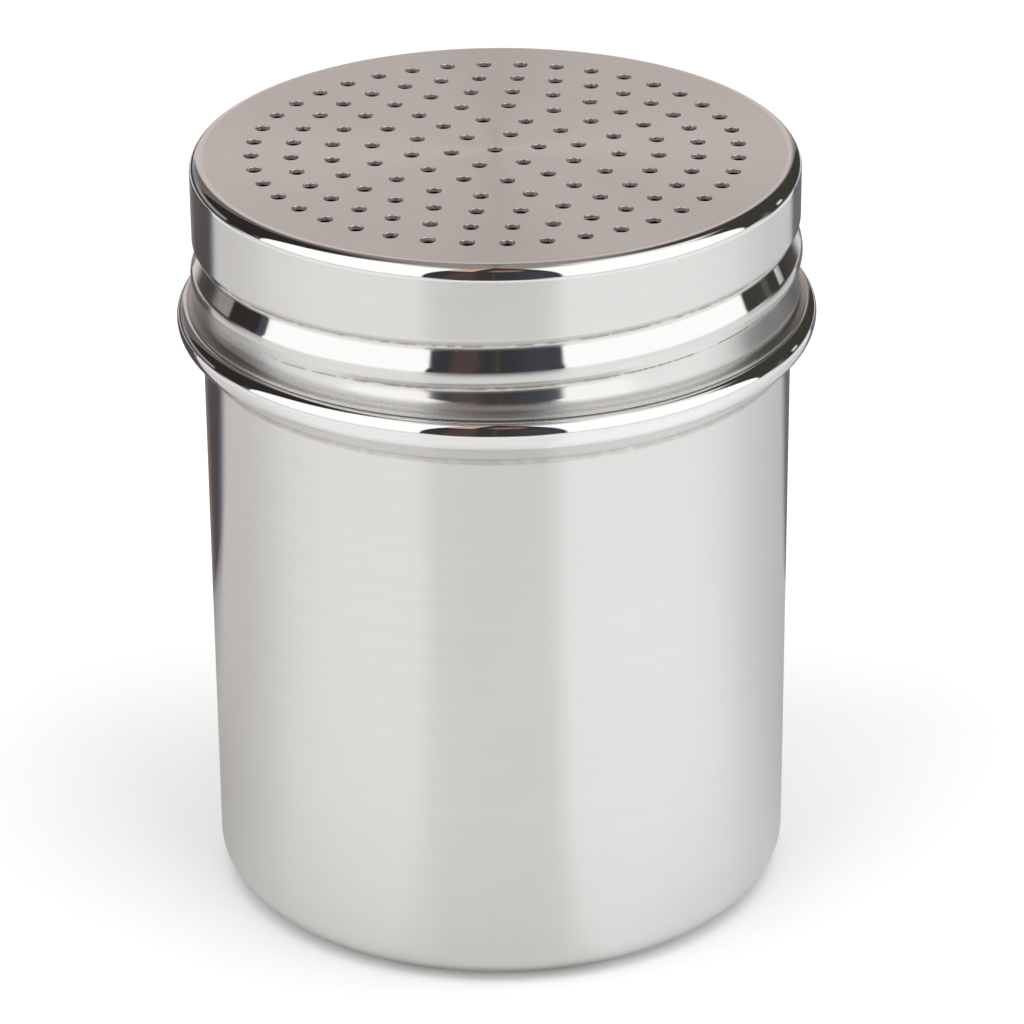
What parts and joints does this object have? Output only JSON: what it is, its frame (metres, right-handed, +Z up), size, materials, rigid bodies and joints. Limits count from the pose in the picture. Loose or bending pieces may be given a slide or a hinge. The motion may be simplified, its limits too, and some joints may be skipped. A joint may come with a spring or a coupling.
{
  "type": "spice shaker",
  "caption": "Cylindrical steel spice shaker: a deep can with a rolled bead and threaded neck, closed by a flat perforated lid that screws off for filling.",
  "frame": {"origin": "centre of the circle on which the can stands, at the bottom of the base", "axes": "+Z up along the common axis of can and lid; -Y is the front, the side that the picture shows; +X is to the viewer's right"},
  "size_m": [0.076, 0.076, 0.0928],
  "materials": {
    "can_steel": "satin round the wall, polished bead",
    "lid_steel": "satin disc and band, polished edge"
  },
  "bodies": {
    "can_body": {"can": "can_steel"},
    "lid_lip_body": {"lid_lip": "lid_steel"},
    "lid_body": {"perforated_lid": "lid_steel"}
  },
  "joints": [
    {"name": "lid_lift", "type": "slide", "parent": "can_body", "child": "lid_lip_body", "axis": [0, 0, 1], "range_m": [0, 0.0182]},
    {"name": "lid_turn", "type": "hinge", "parent": "lid_lip_body", "child": "lid_body", "pos_m": [0, 0, 0.0746], "axis": [0, 0, 1], "range_deg": [0, 1260]}
  ],
  "couplings": [
    {"joint": "lid_lift", "follows": "lid_turn", "m_per_rad": 0.00082761}
  ]
}
